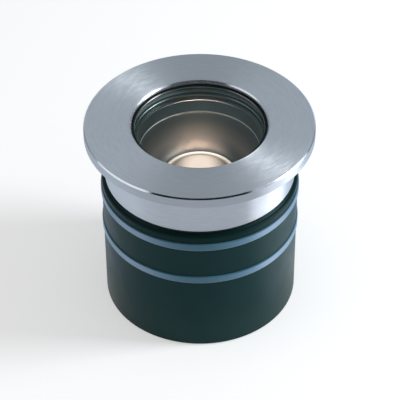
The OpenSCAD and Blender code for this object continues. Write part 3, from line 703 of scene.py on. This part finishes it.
pad_rubber = skinned("pad_rubber", (0.3, 0.32, 0.36), (0.25, 0.27, 0.31), (0.6, 0.75))
machined_aluminium = turned_metal("machined_aluminium", (0.62, 0.63, 0.64), (0.5, 0.51, 0.52), (0.3, 0.45))
black_plastic = skinned("black_plastic", (0.02, 0.02, 0.022), (0.028, 0.028, 0.03), (0.45, 0.6),
                        grain=1400.0, depth=0.02 * MM, strength=0.5)
green_board = skinned("green_board", (0.02, 0.16, 0.05), (0.03, 0.22, 0.07), (0.25, 0.4), patches=220.0)
pale_plastic = skinned("pale_plastic", (0.8, 0.79, 0.74), (0.74, 0.73, 0.67), (0.4, 0.55))
brass = turned_metal("brass", (0.76, 0.6, 0.28), (0.62, 0.46, 0.18), (0.25, 0.4))
nickel_plate = turned_metal("nickel_plate", (0.62, 0.61, 0.58), (0.52, 0.51, 0.48), (0.2, 0.32),
                            centre_y=24 * MM)
blue_lead = skinned("blue_lead", (0.03, 0.06, 0.4), (0.04, 0.08, 0.46), (0.3, 0.4))
red_lead = skinned("red_lead", (0.5, 0.02, 0.015), (0.56, 0.035, 0.02), (0.3, 0.4))


def bezel():
    """Flange, neck and the bore with its lip, shelf and ring groove, turned from one piece."""
    top, foot = high("bezel"), low("bezel")
    flange_z = frame["record"]["mounts"][1]["pos_m"][2]
    flange_r, hole_r, bore_r = outer("bezel"), inner("bezel"), inner("bezel", foot)
    neck_r = outer("bezel", foot) + EDGE_BREAK
    slip_gap, pack_gap, ring_gap, shelf_h = 0.05 * MM, 0.3 * MM, 0.1 * MM, 1.2 * MM
    lip_z, pack_r = high("slip_ring") + slip_gap, outer("slip_ring") + pack_gap
    ring_low, ring_high = low("glass_ring") - ring_gap, high("glass_ring") + ring_gap
    groove_r, shelf_z = outer("glass_ring"), ring_low - shelf_h
    line = rounded([
        (hole_r, lip_z, EDGE), (hole_r, top - RIM_CHAMFER, EDGE), (hole_r + RIM_CHAMFER, top, EDGE),
        (flange_r - RIM_CHAMFER, top, EDGE), (flange_r, top - RIM_CHAMFER, EDGE),
        (flange_r, flange_z + EDGE_BREAK, EDGE), (flange_r - EDGE_BREAK, flange_z, EDGE),
        (neck_r, flange_z, 2 * EDGE), (neck_r, foot + EDGE_BREAK, EDGE), (neck_r - EDGE_BREAK, foot, EDGE),
        (bore_r, foot, EDGE), (bore_r, shelf_z, EDGE), (pack_r, shelf_z, EDGE), (pack_r, ring_low, EDGE),
        (groove_r, ring_low, EDGE), (groove_r, ring_high, EDGE), (pack_r, ring_high, EDGE),
        (pack_r, lip_z, EDGE)])
    turned("flange_and_neck", line, "bezel_group", brushed_steel, ("bezel",))
    thread_rise, turns = 3.3 * MM, 5
    thread("neck_thread", bore_r, bore_r - THREAD_DEPTH, foot + thread_rise, turns,
           "bezel_group", thread_steel)


def housing():
    """Cast housing: its core as packed, drawn in under a turned skin, and the thread round its spigot.

    The core's points keep their angle and height, and their radius becomes the smaller of r and the core's.
    """
    foot, wall_r = low("housing"), outer("housing")
    shoulder = low("bezel_seal")
    groove_r = inner("lower_band")
    sunk, buried, hair = 0.1 * MM, 0.4 * MM, 0.05 * MM
    core_r, bury_r = groove_r - sunk, groove_r - buried
    core = merged_copy("housing_core", "housing", "root", dark_coat)
    places = np.empty(len(core.data.vertices) * 3)
    core.data.vertices.foreach_get("co", places)
    places = places.reshape(-1, 3)
    radius = np.hypot(places[:, 0], places[:, 1])
    places[:, :2] *= np.minimum(1.0, core_r / np.maximum(radius, LEAST_RADIUS))[:, None]
    core.data.vertices.foreach_set("co", places.ravel())
    core.data.update()
    grooves = []
    for node in ("lower_band", "upper_band"):
        grooves += [(wall_r, low(node) - hair, EDGE), (groove_r, low(node) - hair, hair / 2),
                    (groove_r, high(node) + hair, hair / 2), (wall_r, high(node) + hair, EDGE)]
    line = rounded([
        (bury_r, foot + hair, 0), (core_r, foot, 0), (wall_r - FOOT_CHAMFER, foot, EDGE),
        (wall_r, foot + FOOT_CHAMFER, EDGE), *grooves, (wall_r, shoulder, SHOULDER_ROUND),
        (core_r, shoulder, 0), (bury_r, shoulder - hair, 0)])
    turned("housing_skin", line, "root", dark_coat, ("housing",))
    spigot_edge, relief, thread_rise, turns = 0.5 * MM, 0.8 * MM, 2.3 * MM, 5.5
    relief_r = outer("housing", high("housing") - spigot_edge) - relief
    thread("spigot_thread", relief_r, relief_r + THREAD_DEPTH, low("bezel") + thread_rise, turns,
           "root", thread_coat)


def bands():
    """The two elastic bands in their grooves."""
    for node in ("upper_band", "lower_band"):
        z0, z1, r0, r1 = low(node), high(node), inner(node), outer(node)
        line = rounded([(r0, z0, EDGE), (r1, z0, BAND_ROUND), (r1, z1, BAND_ROUND), (r0, z1, EDGE)])
        turned(node + "_ring", line, "root", band_rubber, (node,))


def seal():
    """Round cord of the seal between the neck and the shoulder, a circle in section."""
    z0, z1, r0, r1 = low("bezel_seal"), high("bezel_seal"), inner("bezel_seal"), outer("bezel_seal")
    angle = np.linspace(0, 2 * math.pi, CORD_STEPS, endpoint=False)
    across, upright = (r1 - r0) / 2 * np.cos(angle), (z1 - z0) / 2 * np.sin(angle)
    cord = np.stack([(r0 + r1) / 2 + across, (z0 + z1) / 2 + upright], 1)
    turned("seal_cord", cord, "root", black_rubber, ("bezel_seal",))


def glass_disc():
    """Glass with ground edges."""
    z0, z1, r1 = low("glass"), high("glass"), outer("glass")
    line = rounded([(0, z0, 0), (r1 - EDGE_BREAK, z0, EDGE), (r1, z0 + EDGE_BREAK, EDGE),
                    (r1, z1 - EDGE_BREAK, EDGE), (r1 - EDGE_BREAK, z1, EDGE), (0, z1, 0)], closed=False)
    turned("glass_disc", line, "glass_pack", clear_glass_slab, ("glass",), closed=False)


def gasket():
    """Gasket of U section round the edge of the glass."""
    z0, z1, r1 = low("glass"), high("glass"), outer("glass")
    low_z, high_z, wide = low("glass_gasket"), high("glass_gasket"), outer("glass_gasket")
    upper_r, lower_r = inner("glass_gasket", high_z), inner("glass_gasket", low_z)
    gap = 0.02 * MM
    line = rounded([
        (lower_r, low_z, EDGE), (wide, low_z, EDGE), (wide, high_z, EDGE), (upper_r + CUT_EDGE, high_z, FINE),
        (upper_r, high_z - CUT_EDGE, FINE), (upper_r, z1 + gap, EDGE), (r1 + gap, z1 + gap, EDGE),
        (r1 + gap, z0 - gap, EDGE), (lower_r, z0 - gap, EDGE)])
    turned("gasket_ring", line, "glass_pack", gasket_black, ("glass_gasket",))


def baffle():
    """Stepped baffle ring: a flange on the spigot, a skirt inside it, and a ledge with cut edges."""
    z_top, z_low = high("baffle_ring"), low("baffle_ring")
    bore, low_r = inner("baffle_ring", z_top), inner("baffle_ring", z_low)
    ledge_z = z_top - LEDGE_DROP
    ledge_in, skirt_wall, flange_rise, ledge_lip = 0.4 * MM, 3.1 * MM, 15.8 * MM, 0.12 * MM
    ledge_r, skirt_r = low_r + ledge_in, low_r + skirt_wall
    land_r, wide = outer("baffle_ring", z_top), outer("baffle_ring")
    flange_top, flange_low = low("bezel") + flange_rise, high("housing")
    line = rounded([
        (low_r, z_low, EDGE), (skirt_r, z_low, EDGE), (skirt_r, flange_low, EDGE), (wide, flange_low, EDGE),
        (wide, flange_top, EDGE), (land_r, flange_top, EDGE), (land_r, z_top, EDGE),
        (bore + CUT_EDGE, z_top, FINE), (bore, z_top - CUT_EDGE, FINE), (bore, ledge_z, EDGE),
        (ledge_r + CUT_EDGE, ledge_z, FINE), (ledge_r + LAND, ledge_z - ledge_lip, FINE),
        (ledge_r, ledge_z - LEDGE_CUT, FINE)])
    turned("stepped_baffle", line, "root", grey_anodised, ("baffle_ring",))


def bowl():
    """Spun bowl on its collar: up to its mouth, r grows as t to the power of its curve, and z as t."""
    z0, z1 = low("reflector"), high("reflector")
    collar_r, mouth_r = inner("reflector", z0), inner("reflector", z1)
    lip_h, lip_w, flare, hair = 0.8 * MM, 1.5 * MM, 0.12 * MM, 0.02 * MM
    bowl_z, wall = high("lens_ring") - lip_h, 0.9 * MM
    steps, crowding, curve = 40, 1.6, 0.55
    t = np.linspace(0, 1, steps) ** crowding
    inside = np.stack([collar_r + (mouth_r - collar_r) * t ** curve, bowl_z + (z1 - bowl_z) * t], 1)
    inside = inside[inside[:, 1] < z1 - CUT_EDGE]
    mouth = [[mouth_r - hair, z1 - CUT_EDGE + hair], [mouth_r + flare, z1 - hair]]
    inside = np.vstack([inside, mouth])
    outside = inside[::-1] + [wall, -wall / 2]
    outside[:, 1] = np.minimum(outside[:, 1], z1 - lip_h)
    lip = np.array([[mouth_r + lip_w, z1], [mouth_r + lip_w, z1 - lip_h]])
    line = np.vstack([[[collar_r, z0]], inside, lip, outside, [[collar_r + wall, z0]]])
    turned("spun_bowl", line, "root", satin_reflector, ("reflector",))


def lens_holder():
    """Ring round the lens with a round crest and a seat for the lens."""
    z0, z1, r1 = low("lens_ring"), high("lens_ring"), outer("lens_ring")
    wall, seat_h = 1.6 * MM, 0.8 * MM
    crest = 0.49 * wall
    seat_r, seat_high = inner("lens_ring"), low("led_lens")
    line = rounded([
        (r1 - wall, z0, EDGE), (r1, z0, EDGE), (r1, z1, crest), (r1 - wall, z1, crest),
        (r1 - wall, seat_high, EDGE / 2), (seat_r, seat_high, EDGE), (seat_r, seat_high - seat_h, EDGE),
        (r1 - wall, seat_high - seat_h, EDGE / 2)])
    turned("lens_holder", line, "root", ring_glow, ("lens_ring",))


def dished_lens():
    """Lens whose face is the dish z = top - dish (1 - s s), s running from the axis to the rim."""
    z0, z1, r1 = low("led_lens"), high("led_lens"), outer("led_lens")
    steps, dish = 32, 3.4 * MM
    s = np.linspace(0, 1, steps)
    face = np.stack([r1 * s, z1 - dish * (1 - s ** 2)], 1)
    line = np.vstack([face, [[r1, z0 + LAND]], [[r1 - LAND, z0]], [[0, z0]]])
    turned("dished_lens", line, "root", lens_glow, ("led_lens",), closed=False)


def carried_over():
    """Finishes of the CAD nodes that are shown as packed, and smooth copies of the gland's pieces."""
    finishes = {
        "slip_ring": slip_plastic, "glass_ring": spring_steel, "led_emitter": phosphor,
        "led_board": white_board, "board_screws": screw_steel, "thermal_pad": pad_rubber,
        "heat_sink": machined_aluminium, "sink_screws": screw_steel, "driver_case": black_plastic,
        "driver_board": green_board, "driver_lid": black_plastic, "driver_screws": screw_steel,
        "terminal_block": pale_plastic, "terminal_screws": brass, "supply_leads": blue_lead,
        "led_leads": red_lead, "earth_screw": brass, "gland_o_ring": black_rubber,
        "gland_lock_nut": nickel_plate}
    for node, finish in finishes.items():
        mesh = frame["nodes"][node].data
        mesh.materials.clear()
        mesh.materials.append(finish)
    merged_copy("gland_tail", "gland_body", "root", nickel_plate)
    merged_copy("gland_insert_ring", "gland_seal", "gland_insert", black_rubber)
    merged_copy("gland_dome_nut", "gland_nut", "gland_nut_group", nickel_plate)


def camera():
    """Camera at the photograph's viewing angle."""
    data = bpy.data.cameras.new("camera")
    data.lens = CAMERA_LENS
    data.sensor_width = 36.0
    data.clip_start, data.clip_end = 0.01, 20.0
    thing = shown("camera", data)
    turn = Euler((CAMERA_PITCH, 0, 0)).to_matrix() @ Euler((0, 0, CAMERA_ROLL)).to_matrix()
    thing.matrix_world = turn.to_4x4()
    thing.location = CAMERA_PLACE
    bpy.context.scene.camera = thing


def direction(azimuth, elevation):
    """Unit vector at an azimuth from +X towards +Y and an elevation above the floor, in degrees."""
    a, e = math.radians(azimuth), math.radians(elevation)
    return Vector((math.cos(e) * math.cos(a), math.cos(e) * math.sin(a), math.sin(e)))


def well_lamp():
    """Small warm lamp below the glass, shining down, which makes the glow beside the lit lens."""
    data = bpy.data.lights.new("well_lamp", "SPOT")
    data.spot_size = math.pi
    data.spot_blend = 0.02
    data.shadow_soft_size = WELL_LAMP_RADIUS
    data.energy = WELL_LAMP_POWER
    data.color = (1.0, 0.80, 0.66)
    thing = shown("well_lamp", data)
    thing.location = (WELL_LAMP_X, 0, low("glass") - WELL_LAMP_DROP)
    thing.visible_camera = False
    thing.visible_transmission = False


def facing(name, data, azimuth, elevation, distance):
    """A lamp or card at a direction and distance from the object, turned to face it."""
    thing = shown(name, data)
    way = direction(azimuth, elevation)
    thing.location = AIM + way * distance
    thing.rotation_mode = "QUATERNION"
    thing.rotation_quaternion = way.to_track_quat("Z", "Y")
    return thing


def softbox(name, azimuth, elevation, width, height, radiance, colour=(1.0, 1.0, 1.0)):
    """Rectangular lamp. Its power is radiance times pi times its area."""
    data = bpy.data.lights.new(name, "AREA")
    data.shape = "RECTANGLE"
    data.size, data.size_y = width, height
    data.energy = radiance * math.pi * width * height
    data.color = colour
    facing(name, data, azimuth, elevation, SOFTBOX_DISTANCE).visible_camera = False


def flat_sheet(name, width, height):
    """Mesh of one rectangle round the origin."""
    x, y = width / 2, height / 2
    mesh = bpy.data.meshes.new(name)
    mesh.from_pydata([(-x, -y, 0), (x, -y, 0), (x, y, 0), (-x, y, 0)], [], [(0, 1, 2, 3)])
    return mesh


def card(name, azimuth, elevation, width, height, shade, distance):
    """Flat studio card that only reflections see, with one even shade."""
    mesh = flat_sheet(name, width, height)
    mesh.materials.append(even_glow(name + "_glow", shade))
    only_reflected(facing(name, mesh, azimuth, elevation, distance))


def bare_glow(name):
    """Material with nothing but an output, for a card that only shines."""
    made = bpy.data.materials.new(name)
    made.use_nodes = True
    made.node_tree.nodes.clear()
    made.cycles.emission_sampling = "NONE"
    return made, made.node_tree, made.node_tree.nodes.new("ShaderNodeOutputMaterial")


def even_glow(name, shade):
    """Material that only shines, with one even shade."""
    made, tree, output = bare_glow(name)
    glow = add(tree, "Emission", {"Color": (*shade, 1.0), "Strength": 1.0})
    tree.links.new(glow.outputs[0], output.inputs["Surface"])
    return made


def only_reflected(thing):
    """Shows a studio card to reflections only."""
    thing.visible_camera = False
    thing.visible_diffuse = False
    thing.visible_transmission = False
    thing.visible_shadow = False


def dome(name, reach, lowest, highest):
    """Part of a sphere over the set: P(u, v) = R (cos v cos u, cos v sin u, sin v)."""
    columns, rows = 48, 16
    u = np.linspace(0, 2 * math.pi, columns, endpoint=False)
    v = np.linspace(math.radians(lowest), math.radians(highest), rows)[:, None]
    places = reach * np.stack([np.cos(v) * np.cos(u), np.cos(v) * np.sin(u), np.sin(v) + 0 * u], 2)
    uv = np.zeros((len(v) + 1, len(u) + 1, 2))
    return grid_mesh(name, places, uv, wrap_rows=False, wrap_columns=True)


def tent():
    """Grey dome seen in reflections only: dim at its foot, pale half way up and darker overhead."""
    reach = 3.0
    mesh = dome("tent", reach, lowest=0.2, highest=90)
    made, tree, output = bare_glow("tent_glow")
    up = [reach * math.sin(math.radians(elevation)) for elevation in (12, 32, 45, 80)]
    low_part = ramp(tree, along(tree, "Z"), up[0], up[1])
    top_part = ramp(tree, along(tree, "Z"), up[2], up[3])
    glow = add(tree, "Emission", {"Strength": 1.0})
    colour = blend_colours(tree, low_part, (0.31, 0.345, 0.39), (0.60, 0.665, 0.755))
    blend_colours(tree, top_part, colour, (0.36, 0.40, 0.45), glow.inputs["Color"])
    tree.links.new(glow.outputs[0], output.inputs["Surface"])
    mesh.materials.append(made)
    only_reflected(shown("tent", mesh))


def toward(tree, way, azimuth):
    """How nearly a flat direction points to an azimuth: the cosine of the angle between them."""
    aim = direction(azimuth, 0)
    return add(tree, "VectorMath", {0: way, 1: aim}, operation="DOT_PRODUCT").outputs["Value"]


def ground_card():
    """Card round the object on the floor, seen in reflections only: grey, paler left, and white right."""
    columns, lift = 64, 0.4 * MM
    u = np.linspace(0, 2 * math.pi, columns, endpoint=False)
    r = np.array([2.9, 0.6, 0.2, 0.062])[:, None]
    places = np.stack([r * np.cos(u), r * np.sin(u), 0 * r * u + lift], 2)
    uv = np.zeros((len(r) + 1, len(u) + 1, 2))
    mesh = grid_mesh("ground_card", places, uv, wrap_rows=False, wrap_columns=True)
    made, tree, output = bare_glow("ground_card_glow")
    place = add(tree, "TexCoord").outputs["Object"]
    way = add(tree, "VectorMath", {0: place}, operation="NORMALIZE").outputs["Vector"]
    left, right, hot = [toward(tree, way, azimuth) for azimuth in (178, 35, -13)]
    glow = add(tree, "Emission", {"Strength": 1.0})
    colour = blend_colours(tree, ramp(tree, left, 0.75, 0.97), (0.60, 0.67, 0.76), (0.69, 0.79, 0.90))
    colour = blend_colours(tree, ramp(tree, right, 0.35, 0.85), colour, (0.72, 0.87, 1.05))
    blend_colours(tree, ramp(tree, hot, 0.88, 0.97), colour, (1.32, 1.44, 1.60), glow.inputs["Color"])
    tree.links.new(glow.outputs[0], output.inputs["Surface"])
    mesh.materials.append(made)
    only_reflected(shown("ground_card", mesh))


def background_seen(tree):
    """1 for camera, glossy and transmission rays, which see the white background."""
    path = add(tree, "LightPath")
    seen = math_node(tree, "MAXIMUM", path.outputs["Is Camera Ray"], path.outputs["Is Glossy Ray"])
    return math_node(tree, "MAXIMUM", seen, path.outputs["Is Transmission Ray"])


def floor():
    """Pale floor that reads white and keeps the object's soft shadow."""
    side, drop = 8.0, 0.05 * MM
    mesh = flat_sheet("floor", side, side)
    made, tree, shader, output = new_material("floor_paper", Roughness=0.9, Specular_IOR_Level=0.0,
                                              Base_Color=(0.8, 0.8, 0.8, 1.0))
    lift = times(tree, background_seen(tree), 0.42)
    glow = add(tree, "Emission", {"Color": (1.0, 1.0, 1.0, 1.0), "Strength": lift})
    both = add(tree, "AddShader", {0: shader.outputs[0], 1: glow.outputs[0]})
    tree.links.new(both.outputs[0], output.inputs["Surface"])
    made.cycles.emission_sampling = "NONE"
    mesh.materials.append(made)
    thing = shown("floor", mesh)
    thing.location.z = -drop


def world():
    """White where it is seen, and an even soft light on the object."""
    made = bpy.data.worlds.new("studio")
    made.use_nodes = True
    tree = made.node_tree
    tree.nodes.clear()
    strength = spread(tree, background_seen(tree), 0.38, 1.0)
    light = add(tree, "Background", {"Color": (1.0, 1.0, 1.0, 1.0), "Strength": strength})
    output = tree.nodes.new("ShaderNodeOutputWorld")
    tree.links.new(light.outputs[0], output.inputs["Surface"])
    made.cycles.sampling_method = "NONE"
    bpy.context.scene.world = made


bezel()
housing()
bands()
seal()
glass_disc()
gasket()
baffle()
bowl()
lens_holder()
dished_lens()
carried_over()
camera()
world()
floor()
tent()
ground_card()
softbox("right_softbox", azimuth=-1, elevation=29, width=0.28, height=0.86, radiance=10.6,
        colour=(0.91, 0.96, 1.0))
softbox("left_softbox", azimuth=190, elevation=34, width=0.86, height=0.5, radiance=0.53)
well_lamp()
card("edge_card", azimuth=17, elevation=24, width=0.22, height=0.2, shade=(2.3, 2.4, 2.5), distance=1.0)
card("glass_flag", azimuth=90, elevation=38.8, width=0.26, height=0.22, shade=(0.17, 0.27, 0.27),
     distance=1.1)
card("front_flag", azimuth=-90, elevation=54, width=1.9, height=0.9, shade=(0.004, 0.006, 0.008),
     distance=1.3)

bpy.context.scene.view_settings.view_transform = "Standard"
